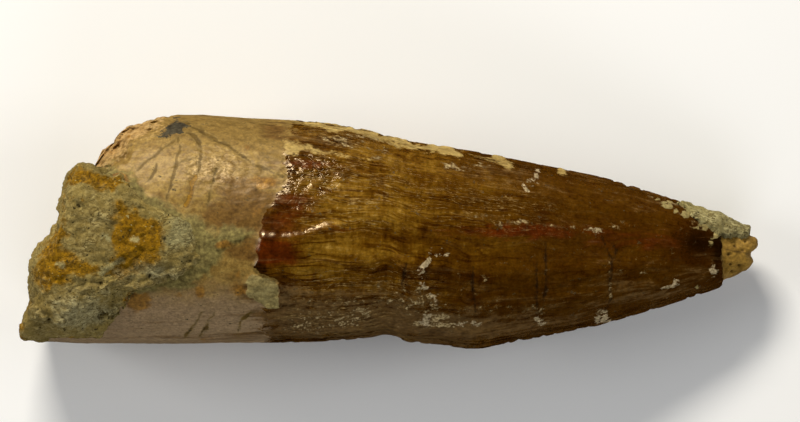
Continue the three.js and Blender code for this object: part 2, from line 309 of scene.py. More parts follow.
# Lines of cracks in the root, each (half its width, its points).
ROOT_CRACKS = [
    (0.06, [(-29, 12.3), (-30.1, 11.5), (-31.3, 10.5), (-32.2, 9.8), (-33.2, 9), (-33.9, 8.3)]),
    (0.165, [(-28.6, 12.5), (-28.2, 11.7), (-28.3, 10.5), (-28.6, 9.8), (-28.7, 8.5), (-29.1, 7.3),
             (-29.3, 6.4), (-29.9, 4.5)]),
    (0.15, [(-27.5, 13.4), (-26.4, 12.8), (-25.6, 11.9), (-25.3, 10.9), (-25.5, 9), (-25.6, 8.3),
            (-26.2, 7.1)]),
    (0.075, [(-23.4, 8.5), (-23.6, 7.1), (-24, 5.8), (-24.2, 4.5), (-24.5, 3.6)]),
    (0.045, [(-31.4, 9.2), (-31.6, 8.3), (-32.2, 7.1), (-32.8, 6.4)]),
    (0.015, [(-28.4, 9.3), (-27.1, 9.7), (-26, 10)]),
    (0.105, [(-27.9, 14.7), (-26.4, 14.1), (-25, 13.2), (-24.1, 12.8), (-23, 12), (-21.8, 11.6),
             (-20.7, 10.6)]),
    (0.075, [(-22, 11.7), (-20.7, 10.6), (-19.6, 10), (-18.4, 9.2), (-17.7, 8.8), (-16.2, 8.1),
             (-14.7, 7.3)]),
    (0.045, [(-25.4, -11.1), (-26, -12.4), (-26.9, -13.6), (-27.7, -14.3)]),
    (0.015, [(-23.6, -11.3), (-24.6, -12.4), (-24.8, -13.2), (-25.8, -14.2)]),
    (0.03, [(-18.7, -11.1), (-20.1, -12.2), (-20.4, -13.4), (-20.5, -14.2)]),
]
UNDER_CRACKS = [
    (0.06, [(-34, 11), (-29, 8.5), (-26, 9), (-21, 7)]), (0.165, [(-26, 9), (-25, 4), (-26.5, 0)]),
    (0.15, [(-22, -13), (-21, -8), (-23, -4)]), (0.075, [(-18, 6), (-21, 2.5), (-20, -1)]),
]
FILLED_CRACK = [(-26.1, 7.3), (-26.5, 6.6), (-26.6, 5.6), (-26.8, 4.7), (-27.2, 3.5)]
# Cracks across the enamel.
FISSURE_WIDTH = 0.12
FISSURES = [
    [(2, -4.2), (1.6, -5.9), (1.3, -7.5)], [(10.9, -4.7), (10.8, -7.4), (11.1, -9.3), (11.3, -11.3)],
    [(19.3, -3.1), (19.4, -5.9), (19.4, -8), (19.7, -12.3)],
    [(20.7, -1.6), (20.7, -5.3), (20.7, -8), (20.1, -10.9)],
    [
        (28.2, -0.7), (28.7, -1.8), (29.1, -2.6), (29.5, -3.6), (29.6, -4.9), (29.4, -6.3), (29.4, -8),
        (29.5, -9.3), (28.8, -10.5),
    ],
    [(29.6, -1.6), (30.2, -2.6), (29.9, -3.9)],
]
UNDER_FISSURES = [
    [(4, 9), (4.5, 4), (3.6, -1)], [(15, 6), (15.6, 1), (15, -4), (15.4, -9)],
    [(26, 5), (25.4, 0), (26, -6)], [(34, 2), (34.5, -3), (34, -7)],
]
# Pale limy film and crusts, closed outlines and lines.
CREAM_TONGUE = [
    (-14.9, 12.8), (-13.4, 12.1), (-11.4, 11.9), (-10.2, 11.1), (-8.4, 10.6), (-6.5, 10.4), (-4, 9.8),
    (-2.3, 9.7), (-2.6, 9.5), (-4.3, 9.5), (-6.7, 10), (-9, 10.2), (-10.7, 10.6), (-11.7, 10.7),
    (-12.7, 10.2), (-13.4, 9.8), (-14.1, 10.2), (-14.6, 11.3),
]
CREAM_BAND = [
    (-15.2, 15.7), (-10.1, 15.6), (-7, 15.4), (-5, 14.9), (-2.3, 14.4), (-0.3, 13.9), (2, 13.4),
    (4.4, 12.9), (6.5, 12.4), (8.5, 11.9), (9.8, 11.2), (9.4, 9.7), (7.8, 10.1), (5.8, 10.4), (4, 10.7),
    (2.4, 10.7), (1.1, 11.2), (-0.9, 11.9), (-2.7, 12.1), (-4.3, 12.8), (-6.3, 13.3), (-8.4, 13.3),
    (-9.7, 13.8), (-11.8, 14.1), (-13.8, 14.7),
]
CREAM_EDGE = [
    (9.2, 11.9), (12.2, 11.4), (13.7, 11), (14.9, 10.6), (16.1, 10.2), (16.4, 8.5), (15.5, 8.2),
    (14.9, 8.8), (13.7, 9.4), (11.2, 10.1),
]
CREAM_CHIP = [(22.2, 9.2), (23.7, 9), (23.7, 7.5), (22.8, 7.2), (22.2, 7.7)]
PALE_BLOCK = [
    (-19.6, -5.4), (-18.3, -5.4), (-17.2, -6.2), (-16.5, -6.5), (-15.4, -6.7), (-15.1, -7.2),
    (-15.1, -10.2), (-17, -10.2), (-17.4, -9.9), (-18.3, -9.5), (-19.4, -9.3), (-20, -7.5),
]
FILM = [
    (-39.8, 8.9), (-36.9, 8.5), (-34.4, 7.7), (-33.7, 6), (-32.5, 4.8), (-30.8, 3.9), (-29.5, 3.1),
    (-27.5, 2.6), (-26.1, 1.8), (-25, 0.9), (-23.4, -0.6), (-21.6, 0.2), (-19.6, 0.4), (-18.8, -0.6),
    (-20.8, -1.4), (-22.6, -2.6), (-23.2, -4), (-24.4, -5.2), (-25.4, -6.6), (-27.3, -7.3), (-30.4, -8),
    (-36, -8.4),
]
UNDER_FILM = [(-46, -14), (-34, -12), (-29, -6), (-28, 1), (-32, 6), (-36, 9), (-46, 9)]
CHALK_LINES = [
    [(19.8, 8.2), (19.4, 7.4), (19.1, 6.9)], [(18.1, 6.7), (18.9, 6.6), (19.7, 6.1)],
    [(17.7, 6.2), (18.1, 5.5)], [(5.3, -2.3), (5, -3.4), (4.9, -4.4), (4.3, -5.4)],
    [(5.1, -2.6), (5.9, -3), (6.6, -2.7), (7.3, -3.2)], [(36.5, -7.5), (37.5, -7.7), (38.5, -6.9)],
    [(8.8, -12.5), (10.5, -12.3), (11.7, -12.4)], [(26.7, 0.3), (28.7, 0.2)],
    [(4, -6), (4.4, -7.4), (5.6, -8.6), (6.2, -9.6)],
]
STUCK_CRUMBS = [
    (36.1, 4.2, 0.3), (37.2, 3.6, 0.45), (39.8, 2, 0.5), (40.7, 0.7, 0.35), (42.3, 0.5, 0.45),
    (43, -1.5, 0.4), (44.2, 0.2, 0.5), (43.9, -0.7, 0.4), (41.3, -7.2, 0.25), (38.6, 2.6, 0.35),
    (41.4, 0.9, 0.4),
]
CHALK_SPOTS = [
    (4.4, -11.7, 0.8), (28.7, -11.5, 0.75), (27.8, -11.7, 0.5), (19.9, -11.9, 0.6), (43.6, -5.2, 0.5),
]
# Soft spots, each (x, y, radius along, radius across, strength).
OCHRE_SPOTS = [
    (-22.2, -1.8, 1.5, 0.7, 1), (-25.4, -8.2, 0.8, 1.2, 1.1), (-28.2, -8.7, 0.9, 0.5, 0.8),
    (-33.9, -9.7, 1.6, 1.3, 1.7), (-19.9, -8.3, 1, 1, 0.9), (-20.9, -6.9, 1.3, 1.5, 0.6),
    (-19, -3, 1.6, 2.4, 0.55), (-19.2, 11.1, 0.6, 0.35, 0.6), (-17.3, 6.9, 1.8, 0.8, 0.8),
    (-15.8, 6.6, 1.2, 0.7, 0.7), (-17.8, 2.4, 1.2, 1.6, 0.5), (-16.3, -9.2, 0.7, 0.7, 0.4),
    (-38, 11, 1.8, 0.7, 0.8), (-36, 13, 2.2, 0.9, 0.7), (-33.5, 8, 2.5, 1, 0.3), (-24, -14.8, 5, 0.4, 0.5),
    (-36.2, 6.8, 1.6, 0.9, 1.6),
]
UNDER_OCHRE = [(-22, 3, 3, 2, 0.8), (-24, -8, 3, 1.5, 0.7)]
SOOT_SPOTS = [(-28.6, 14.2, 1.2, 0.9, 1.3), (-29.4, 13.6, 0.9, 0.7, 0.9), (-30.6, 12.9, 0.9, 0.6, 0.7)]
SPECK_SPOTS = [
    (5.5, -9.5, 3.2, 2.6, 0.55), (1, -8.6, 3.6, 1.6, 0.55), (-6, -12, 6, 1.2, 0.65),
    (-12.5, -13.3, 4, 0.9, 0.65), (9, -12.3, 4, 1, 0.65), (4, -12.6, 3.5, 1.6, 0.5),
    (9.8, 8.7, 5, 0.7, 0.95), (11.5, 1.9, 3, 0.4, 0.85), (16, 1.1, 3.2, 0.4, 0.85), (22, 0.8, 4, 0.35, 0.6),
    (27, 0.2, 2.5, 0.3, 0.7), (-7, 7.6, 5, 1.6, 0.45), (18.5, 6.3, 1.2, 0.9, 0.5),
    (35.4, 5, 1.4, 0.6, 0.75), (39, 3.4, 2.2, 0.8, 0.8), (20, -11.8, 0.8, 1.1, 0.8),
    (28.6, -11.3, 1.7, 0.9, 0.8), (12, -7, 4.5, 4, 0.35), (24, 6.8, 1, 0.4, 0.55), (2, 4.6, 5, 3, 0.3),
    (29.4, -7, 0.28, 2.8, 0.95), (39.6, -9, 4, 0.5, 0.5), (43.4, -4.8, 0.9, 1.1, 0.7),
    (40.5, 1, 2, 1.1, 0.65), (-3, -7, 6, 1.2, 0.5), (21.5, 3.2, 3, 0.8, 0.5), (31, 0.8, 2.5, 0.5, 0.45),
    (16, -10.5, 8, 1.2, 0.4), (-4, 12.6, 6, 0.8, 0.6), (-3.5, 11.2, 4, 0.6, 0.4),
    (-7.5, 11.9, 2.5, 0.9, 0.55), (-1.5, 10.1, 2.2, 0.9, 0.65), (-8, -9.3, 8, 0.5, 0.6),
    (-4, -10.6, 7, 1.2, 0.45), (-12, -11.4, 5, 1.4, 0.5), (26, -3, 14, 7, 0.22), (36, -5.5, 6, 3, 0.25),
    (-22, 8, 6, 5, 0.2), (-7, 1, 4, 0.4, 0.4), (8, 12, 8, 0.6, 0.3),
]
UNDER_SPECKS = [
    (-5, 4, 7, 3, 0.6), (12, -6, 6, 3, 0.5), (25, 1, 4, 2, 0.7), (38, -3, 3, 2, 0.7), (4, 10, 5, 1.5, 0.6),
]
# Broad tones of the enamel: golden where it is thin, rust-red near the margin, dull grey-brown, and darker.
# Beside the pale block the grey-brown and the darker tone are a painted shadow, and at the enamel's edge by
# the bare tip the darker tone is painted shade.
GOLD_SPOTS = [
    (-9, 4.6, 5.5, 3.8, 0.22), (-3, 6, 7, 4, 0.2), (-5, -2.4, 8, 1.9, 0.42), (4, 6.4, 7, 2.6, 0.18),
    (0, 2, 7, 1.6, 0.45), (-12, -5.5, 5, 1.2, 0.34), (14, 6.2, 6, 1.6, 0.18), (-3, -7, 7, 2, 0.22),
    (5, 9, 6, 1.8, 0.3), (-8, 13.2, 5, 0.8, 0.15), (-2, 11.2, 5, 1.4, 0.25), (14, -2.5, 7, 2.2, 0.1),
    (-5, 10.4, 5, 1.2, 0.2), (16, -5.5, 6, 1.6, 0.06), (25, 4.5, 6, 1.4, 0.06), (-9.5, 1.2, 3.5, 0.5, 0.3),
]
RUST_SPOTS = [
    (-15.5, -2.6, 3.6, 2.4, 1.2), (-13, 4, 3.6, 1.6, 0.7), (-14.2, 1.5, 3.5, 1.2, 0.6),
    (-11, 8.9, 5, 0.9, 0.7), (-4.5, 8, 3.5, 0.7, 0.5), (17, 0, 11, 1, 0.95), (33, -1.6, 8, 1.6, 0.6),
    (-7, 0.3, 3, 0.5, 0.5), (1, -3.4, 4, 0.8, 0.3),
]
MURK_AND_SHADOW_SPOTS = [
    (-11, 12.4, 3.6, 1.3, 0.35), (-12, -12.2, 5.5, 3, 0.95), (-2, -12.2, 8, 3.2, 0.85),
    (7, -13, 6, 3.6, 0.7), (18, -12.5, 9, 2.2, 0.6), (34, -8.4, 8, 2.2, 0.5), (41.5, -5.2, 4.5, 2.4, 0.25),
    (36.5, 3.8, 5, 1.2, 0.3), (14.5, 7.8, 6.5, 1, 0.5), (27, 6.6, 6, 1, 0.3), (-14.4, -8.4, 1.2, 2.2, 0.6),
]
DARK_AND_SHADE_SPOTS = [
    (41.5, -1.4, 3, 2.4, 1), (-14.2, -8.5, 0.9, 1.9, 0.9), (-12.9, -11.7, 1.2, 0.35, 0.9),
    (-17.6, -4.2, 1, 0.8, 0.6), (-7.5, 12, 3.4, 0.9, 0.45), (1.7, -6, 0.5, 1.4, 0.8),
    (44.2, -2.5, 0.7, 3, 0.9), (6.3, -5.2, 1.4, 0.5, 0.5),
]
UNDER_DARK_AND_SHADE = [(41.5, -2.4, 3, 2.4, 1)]
SCUFF_SPOTS = [
    (-7, 6.5, 9, 6.5, 0.8), (-4, -7, 12, 4, 0.7), (10, 4, 12, 5, 0.55), (24, 0, 13, 7, 0.25),
    (-9, 1, 6, 2, 0.3), (-8, -12, 9, 3, 0.9), (-8, 12.8, 6, 1.4, 0.9),
]
# Where the surface glints. There its bumps are stronger, its crackle is painted darker, which is painted
# shade, and the root is painted paler, which is a painted highlight.
GLINT_AND_SHEEN_SPOTS = [
    (-10, 7.9, 4, 2.8, 1.8), (-13.6, 10, 0.6, 0.8, 1), (-13.8, 7, 0.5, 1.6, 0.8), (-4, 9, 5, 1.2, 0.6),
    (-23.5, 8.5, 5, 2.6, 1.1), (-12, 3, 3.2, 1.4, 1.4), (-13.2, 5.2, 2, 0.4, 0.8), (-11, -6, 7, 1, 0.4),
    (-12.5, 0.2, 4, 0.6, 0.8), (2, 9.5, 6, 1, 0.4), (-17.2, 6.1, 1, 0.6, 0.5),
]
PEARL_SPOTS = [(-17.2, 6.1, 0.9, 0.45, 1)]
OLIVE_SPOTS = [(-21, 12.8, 6, 1.7, 0.75), (-16.5, 10.8, 2.2, 2.6, 0.8), (-24, 14.4, 5, 0.8, 0.7)]
STAIN_SPOTS = [
    (-17.8, 3.2, 4, 2.6, 1.3), (-19, -2.6, 2.6, 2.4, 1.1), (-17, -11.5, 2, 2, 0.6),
    (-21.5, 6, 3.2, 2.6, 0.6), (-15.6, 13.6, 1.8, 1.2, 0.8), (-22, -1.6, 2.6, 0.9, 0.7),
    (-22.5, 2.6, 3, 0.8, 0.5), (-16.2, 7.6, 1.4, 2.4, 0.5), (-18.8, -8.4, 2, 1.8, 0.7),
    (-31.5, 9.6, 5, 2, 0.25), (-23.5, 1.2, 2.5, 1.6, 0.6), (-20, -14.2, 6, 0.9, 0.4),
]
# Marks of the bare core at the tip, and two ridges of the enamel that catch the light.
TIP_PORES = [(46.6, -2), (45.7, -3.2), (46, -4.7), (47.2, -4.9), (48, -1.2), (46.2, -5.8), (47.6, -2.6)]
TIP_SPLIT = [(49.5, -3.2), (47.2, -2.8), (45.2, -2.5)]
GLINT_RIDGE = [(-17.5, -0.5), (-14.8, -0.6), (-11.4, -0.1), (-9, 0.9), (-7.5, 1.3)]
FINE_RIDGE = [(-15.4, 5.5), (-12.4, 5.4), (-10, 5), (-7, 4.9), (-3, 4.6)]

FAR = 9.0  # the distance from a mark where it isn't measured, and -FAR the depth inside it
AROUND, ALONG = 280, 340  # faces round the tooth and along it
UPPER_SHARE = 0.6  # of the faces round it, so that the flank that faces up gets the finer ones
ROUNDED_FROM = 0.965  # of the rings along it, where the tip's rounding starts
# How far each mark stands out of the surface, or is cut into it.
CREAM_RISE, BLOCK_RISE, CRUMB_RISE, FILM_RISE, CHALK_RISE = 0.08, 0.34, 0.14, 0.22, 0.12
RIDGE_RISE, FINE_RIDGE_RISE = 0.55, 0.07
CRACK_DEPTH, FILL_DEPTH, CHIP_DEPTH, PORE_DEPTH = 0.05, 0.1, 0.5, 0.3
# The height of the broken rim's lowest flat ledge, and each ledge's (how far inside the break it ends, how
# far above it the next one is).
LEDGE_FROM = 17
LEDGES = [(-0.2, 2.4), (1, 2.4), (2.2, 3), (3.2, 9)]


def tooth_form():
    """A sphere's rings moved to the tooth's sections, with the station and the angle of each vertex."""
    ball = bmesh.new()
    bmesh.ops.create_uvsphere(ball, u_segments=AROUND, v_segments=ALONG, radius=1)
    mesh = bpy.data.meshes.new("tooth")
    ball.to_mesh(mesh)
    ball.free()
    unit = get(mesh, "co")
    down = np.arccos(np.clip(unit[:, 2], -1, 1)) / math.pi
    turn = (-np.arctan2(unit[:, 1], unit[:, 0]) / (2 * math.pi)) % 1
    angle = np.interp(turn, [0, UPPER_SHARE, 1], [0, math.pi, 2 * math.pi])
    stations = [ROOT_END, ROOT_END + 0.2, ROOT_END + 0.4, TIP_ROUND_FROM]
    x = np.interp(down, [0, 0.01, 0.03, ROUNDED_FROM], stations)
    rounding = np.clip((down - ROUNDED_FROM) / (1 - ROUNDED_FROM), 0, 1) * math.pi / 2
    x = x + (TIP_END - TIP_ROUND_FROM) * np.sin(rounding)
    scale = np.interp(down, [0, 0.01, 0.03], [0, 0.6, 1]) * np.cos(rounding) ** 0.8
    put(mesh, section(x, angle, scale))
    return mesh, x, angle


class ToothSkin:
    """The tooth's surface before its relief. Each array has a row or a number for every vertex."""

    def __init__(self, mesh, x, angle):
        self.x, self.angle = x, angle
        self.skin, self.outward = get(mesh, "co") / MM, get(mesh, "normal")
        self.upper = np.sin(angle) > 0
        self.wander = wandering(self.skin, 1.6, 3, (7.0, 19.0))
        # Places seen from above, as they are and strayed a little, and their distance from the break, which
        # is below 0 past it.
        self.seen = self.skin[:, :2]
        self.strayed = self.seen + 0.35 * self.wander
        self.from_break = -within(self.strayed, BREAK_LINE + [(-60, 40), (-60, 0)])
        # Places along the tooth and round it, in which the striae run straight.
        girth = 14 - 6 * smooth(x, 18, 50)
        self.lay = np.stack([self.skin[:, 0], girth * np.cos(angle), girth * np.sin(angle)], axis=1)
        self.lay[:, 1:] += 0.5 * wandering(self.skin / (1.6, 1, 1), 4.0, 2, (61.0, 67.0))

    def side(self, above, below=-FAR):
        """One field for the flank that faces up, another for the one it lies on."""
        return np.where(self.upper, above, below)


def tooth_marks(at):
    """How far inside each mark every vertex lies, or for a crack and a fissure, how far from it."""
    seen, wander, side = at.seen, at.wander, at.side
    margin = side(edge_at(at.strayed, UPPER_MARGIN), edge_at(at.strayed, LOWER_MARGIN))
    tip_margin = edge_at(at.strayed, TIP_MARGIN)
    ragged = clouds(at.lay / (3, 1, 1), 1.1, 3, 71.0) * (0.25 + 0.5 * smooth(abs(seen[:, 1] + 1), 6, 10))
    ragged += 1.4 * clouds(at.lay, 5.0, 3, 83.0) * smooth(abs(seen[:, 1] + 1), 9, 13)

    bent = seen + 0.25 * wander
    cracks, under_cracks = [
        np.min([to_line(bent, line, width) for width, line in table], axis=0)
        for table in (ROOT_CRACKS, UNDER_CRACKS)
    ]
    bent = seen + 0.12 * wander
    fissures = side(*[to_lines(bent, lines, FISSURE_WIDTH) for lines in (FISSURES, UNDER_FISSURES)])
    outlines = (CREAM_TONGUE, CREAM_BAND, CREAM_EDGE, CREAM_CHIP)
    cream = np.max([within(seen + 0.25 * wander, outline) for outline in outlines], axis=0)
    turned_down = 1 - smooth(np.sin(at.angle) + 0.14 * clouds(at.skin, 2.6, 4, 77.0), -0.14, 0.1)
    block = side(within(seen + 0.12 * wander, PALE_BLOCK))
    worn_off = smooth(-seen[:, 0], 16.8, 19.4) * (0.5 + 0.9 * clouds(at.skin, 1.3, 3, 87.0))
    crumbs = in_dots(seen + 0.6 * wander, STUCK_CRUMBS, squash=(0.6, 1))
    chalk = np.maximum(
        0.1 + 0.22 * wander[:, 0] - to_lines(seen + 0.3 * wander, CHALK_LINES),
        in_dots(seen + 0.45 * wander, CHALK_SPOTS),
    )
    facing_up = smooth(np.sin(at.angle), 0.04, 0.28)
    specks = np.minimum(spots(at.strayed, SPECK_SPOTS), 0.9) * facing_up
    return {
        "enamel": np.minimum(at.strayed[:, 0] - margin + ragged, tip_margin - at.strayed[:, 0]),
        "crack": side(cracks, under_cracks) + 0.14 * wander[:, 0],
        "fissure": fissures + 0.1 * wander[:, 1],
        "fill": side(0.42 - to_line(seen + 0.1 * wander, FILLED_CRACK)),
        "cream": cream - 3 * turned_down,
        "block": block - worn_off,
        "crumbs": side(crumbs - 0.08 + 0.3 * clouds(at.skin, 0.9, 3, 75.0)),
        "film": side(within(seen + 0.7 * wander, FILM), within(seen + 0.8 * wander, UNDER_FILM) - 1.5),
        "chalk": side(chalk),
        "specks": side(specks, spots(at.strayed, UNDER_SPECKS)),
    }


def tooth_relief(at, marks):
    """The steps, waves and grooves of the surface, in millimetres along its outward direction."""
    x, skin, seen, lay, wander, side = at.x, at.skin, at.seen, at.lay, at.wander, at.side
    edges = abs(np.sin(at.angle))
    crisp = side(smooth(-seen[:, 1], 0, 3), 1.0)
    enamelled = smooth(marks["enamel"], -0.12, 0.7 - 0.45 * crisp)
    height = -ENAMEL * (1 - enamelled) * np.where(x > 20, 1, smooth(edges, 0.05, 0.5) * (0.45 + 0.55 * crisp))
    height += 0.12 * clouds(lay / (3.2, 1, 1), 5.0, 2, 3.0)
    height += 0.03 * clouds(lay / (9, 1, 1), 0.9, 2, 5.0) * enamelled * (1 - smooth(x, 26, 40))
    height += 0.05 * clouds(skin, 1.3, 3, 11.0) * (1 - enamelled)
    height -= CRACK_DEPTH * (1 - smooth(marks["crack"], -0.05, 0.16)) * (1 - enamelled)
    height -= CRACK_DEPTH * (1 - smooth(marks["fissure"], -0.05, 0.2)) * enamelled
    height -= FILL_DEPTH * smooth(marks["fill"], -0.2, 0.2)
    height += CREAM_RISE * smooth(marks["cream"], -0.1, 0.5)
    height += CHALK_RISE * smooth(marks["chalk"], -0.15, 0.15)
    height += (BLOCK_RISE + 0.16 * clouds(skin, 1.3, 3, 79.0)) * smooth(marks["block"], -0.12, 0.1)
    height += (CRUMB_RISE + 0.1 * clouds(skin, 0.8, 2, 73.0)) * smooth(marks["crumbs"], -0.1, 0.15)
    height += (FILM_RISE + 0.14 * clouds(skin, 0.9, 3, 23.0)) * smooth(marks["film"], -0.3, 0.6)
    height += 0.05 * np.clip(marks["specks"], 0, 1) * clouds(skin, 0.8, 2, 29.0)

    past_ridge = np.interp(seen[:, 0], *np.transpose(GLINT_RIDGE)) - seen[:, 1] + 0.2 * wander[:, 0]
    stretch = smooth(seen[:, 0], -19, -17) * (1 - smooth(seen[:, 0], -8.5, -4))
    slope_down = smooth(past_ridge, -0.7, 0.7) * np.exp(-((np.maximum(past_ridge, 0) / 3) ** 2))
    height += RIDGE_RISE * side(slope_down * stretch, 0.0)
    height += FINE_RIDGE_RISE * side(np.exp(-((to_line(seen, FINE_RIDGE) / 0.25) ** 2)), 0.0)
    chips = np.clip(clouds(skin, 1.4, 3, 31.0), 0, 1) * np.exp(-((edges / 0.16) ** 2)) * smooth(x, -22, -8)
    height -= CHIP_DEPTH * chips
    bare_tip = smooth(x, ENAMEL_END, ENAMEL_END + 0.5)
    height += bare_tip * 0.12 * clouds(skin, 1.0, 3, 37.0)
    height -= bare_tip * PORE_DEPTH * np.exp(-((to_points(seen, TIP_PORES) / 0.22) ** 2))
    return height


def broken_ends(at, shaped):
    """The split end of the bare core, the ledges of the broken root, and the flat that it rests on."""
    notch = NOTCH_DEPTH * np.exp(-(((shaped[:, 1] - NOTCH_Y) / NOTCH_HALF_WIDTH) ** 2))
    shaped[:, 0] += (TIP_SLANT * (shaped[:, 1] - NOTCH_Y) - notch) * smooth(at.x, 47.6, TIP_END)
    outside = np.maximum(-at.from_break, 0)
    shaped[:, 0] += 0.45 * outside
    shaped[:, 1] -= 0.9 * outside
    crumbly = 0.4 * clouds(at.skin, 1.8, 4, 41.0)
    layers = LEDGE_FROM + crumbly
    for inset, rise in LEDGES:
        layers = layers + rise * smooth(at.from_break + crumbly, inset, inset + 1.2)
    fades = smooth(shaped[:, 0], -30, -26) * 9
    shaped[:, 2] = np.minimum(shaped[:, 2], np.where(at.from_break < 4, layers + fades, 99))
    return np.clip(shaped, box_low, box_high)


def tooth_tones(at):
    """The tones and the wear of the tooth that only its material reads."""
    seen, strayed, wander, side = at.seen, at.strayed, at.wander, at.side
    near_break = 1 - smooth(at.from_break, 0.4, 3.6)
    in_corner = 1 - smooth(seen[:, 0] + 3 * wander[:, 1], -34, -27)
    # The pores and the split of the bare tip are painted dark, which is painted shade in these hollows.
    bare_pores = np.minimum(to_points(seen, TIP_PORES), 0.12 + to_line(strayed, TIP_SPLIT))
    return {
        "ochre": side(spots(strayed, OCHRE_SPOTS), spots(strayed, UNDER_OCHRE)),
        "soot": side(spots(strayed, SOOT_SPOTS), 0.0),
        "gold": spots(seen, GOLD_SPOTS),
        "rust": spots(seen + 0.5 * wander, RUST_SPOTS),
        # Dull grey-brown, and beside the pale block a painted shadow.
        "murk_and_shadow": spots(seen + 1.8 * wander, MURK_AND_SHADOW_SPOTS),
        # Darker enamel, and beside the pale block a painted shadow, and at the enamel's edge by the tip
        # painted shade.
        "dark_tone_and_shade": side(spots(strayed, DARK_AND_SHADE_SPOTS), spots(strayed, UNDER_DARK_AND_SHADE)),
        "lively": 0.36 - 0.22 * smooth(at.x, 0, 22) - 0.07 * smooth(at.x, 28, 42),
        "scuffed": side(spots(seen, SCUFF_SPOTS), 0.3),
        # Where it glints, with a painted highlight on the root and painted shade in the crackle.
        "glint_and_painted_sheen": side(spots(strayed, GLINT_AND_SHEEN_SPOTS), 0.2),
        "olive": side(spots(seen, OLIVE_SPOTS)),
        "stain": side(spots(seen, STAIN_SPOTS), 0.2),
        "grey": np.maximum(smooth(-seen[:, 1], 3.5, 12.5), smooth(9 - at.skin[:, 2], 0, 8)),
        "pearl": side(spots(seen, PEARL_SPOTS)),
        "tip": smooth(at.x, ENAMEL_END - 0.4, ENAMEL_END + 0.2),
        "pores": np.where(at.x > 44, bare_pores, FAR),
        "broken": near_break * in_corner * smooth(at.skin[:, 2] + 4 * wander[:, 0], 8, 17),
    }


def tooth_mesh():
    """The tooth with its relief, and with the fields that its material reads."""
    mesh, x, angle = tooth_form()
    at = ToothSkin(mesh, x, angle)
    marks = tooth_marks(at)
    height = tooth_relief(at, marks)
    put(mesh, broken_ends(at, at.skin + at.outward * height[:, None]))

    fields = {"lay": at.lay} | marks | tooth_tones(at)
    # Near the root, the enamel's colour ends more softly beside the cutting edges and underneath.
    sides = np.maximum(smooth(at.seen[:, 1], 10, 12.5), smooth(-at.seen[:, 1], 9.5, 11.5))
    fields["enamel"] = marks["enamel"] * (1 - 0.8 * at.side(sides, 0.5) * smooth(-x, 0, 5))
    fields["block"] = np.maximum(marks["block"], fields.pop("crumbs"))
    write(mesh, fields)
    return mesh


# ---- Materials ----


def new_material(name):
    """A material without nodes yet, and the tree that takes them."""
    made = bpy.data.materials.new(name)
    made.use_nodes = True
    made.node_tree.nodes.clear()
    return made, made.node_tree


def noises(tree, table):
    """Noises from 0 to 1 by name, each (what it reads, scale along x, across, overall, detail, roughness)."""
    made = {}
    for name, (source, along, across, scale, detail, roughness) in table.items():
        reads = add(tree, "Mapping", {"Vector": source, "Scale": (along, across, across)}).outputs[0]
        settings = {"Vector": reads, "Scale": scale, "Detail": detail, "Roughness": roughness}
        raw = add(tree, "TexNoise", settings)
        made[name] = add(tree, "MapRange", {0: raw.outputs[0], 1: 0.3, 2: 0.7}).outputs[0]
    return made


def total(tree, start, parts):
    """A value plus each of some others times its share, given as (value, share)."""
    for value, share in parts:
        inputs = {0: value, 1: share, 2: start}
        start = add(tree, "Math", inputs, operation="MULTIPLY_ADD").outputs[0]
    return start


def winding_lines(tree, noise_value, width):
    """1 along thin lines where a noise passes its middle, and 0 beside them."""
    off = add(tree, "Math", {0: noise_value, 1: 0.5}, operation="SUBTRACT").outputs[0]
    off = add(tree, "Math", {0: off}, operation="ABSOLUTE").outputs[0]
    limits = {0: off, 2: width, 3: 1.0, 4: 0.0}
    return add(tree, "MapRange", limits, interpolation_type="SMOOTHSTEP").outputs[0]


def weathering(tree, noise_of, finishes, colour, rough):
    """Lays finishes over a base, the first lowest."""
    for field, stray, frays, low, high, dark, light, tone, gloss, solid in finishes:
        value = add(tree, "Attribute", attribute_name=field).outputs["Fac"]
        centred = add(tree, "Math", {0: noise_of[frays], 1: 0.5}, operation="SUBTRACT").outputs[0]
        limits = {0: total(tree, value, [(centred, stray)]), 1: low, 2: high, 4: solid}
        mask = add(tree, "MapRange", limits, interpolation_type="SMOOTHSTEP").outputs[0]
        shade = add(tree, "Mix", {0: noise_of[tone], 6: dark, 7: light}, data_type="RGBA").outputs[2]
        colour = add(tree, "Mix", {0: mask, 6: colour, 7: shade}, data_type="RGBA").outputs[2]
        rough = add(tree, "Mix", {0: mask, 2: rough, 3: gloss}).outputs[0]
    return colour, rough


# Finishes over the enamel, over the dentine and over both. Each is (field, how far a noise frays it, that
# noise, where it starts, where it is full, dark shade, light shade, the noise between the shades, roughness,
# how solid it is).
ENAMEL_FINISHES = [
    ("rust", 0.8, "streaks", 0.2, 0.95, "#361000", "#682804", "mottle", 0.25, 0.9),
    # Dull grey-brown, and beside the pale block a painted shadow.
    ("murk_and_shadow", 1.1, "streaks", 0.1, 1.0, "#4c3616", "#91703f", "clumps", 0.45, 0.7),
    ("scuffed", 1.2, "scuffs", 0.75, 1.3, "#7a5c28", "#b5985c", "fine", 0.45, 0.7),
    ("fissure", 0.15, "fine", 0.2, -0.08, "#1f0f02", "#2f1a06", "fine", 0.4, 0.85),
]
DENTINE_FINISHES = [
    ("tip", 0.1, "mottle", 0.4, 0.6, "#66490f", "#ac8638", "clumps", 0.75, 1.0),
    ("olive", 1.6, "mottle", 0.2, 0.9, "#6a5220", "#8e7034", "clumps", 0.5, 0.85),
    ("grey", 0.3, "mottle", 0.1, 1.0, "#8c7455", "#a88c68", "hairs", 0.5, 0.85),
    ("stain", 1.2, "streaks", 0.1, 0.9, "#472c0c", "#7d5a26", "clumps", 0.45, 0.9),
    ("pearl", 0.1, "mottle", 0.2, 0.7, "#a07030", "#c89c58", "mottle", 0.25, 0.9),
    # Paler where the root glints: a painted highlight, though its lower roughness is real.
    ("glint_and_painted_sheen", 1.2, "clumps", 0.6, 1.3, "#8f7244", "#d2b27c", "fine", 0.3, 0.5),
]
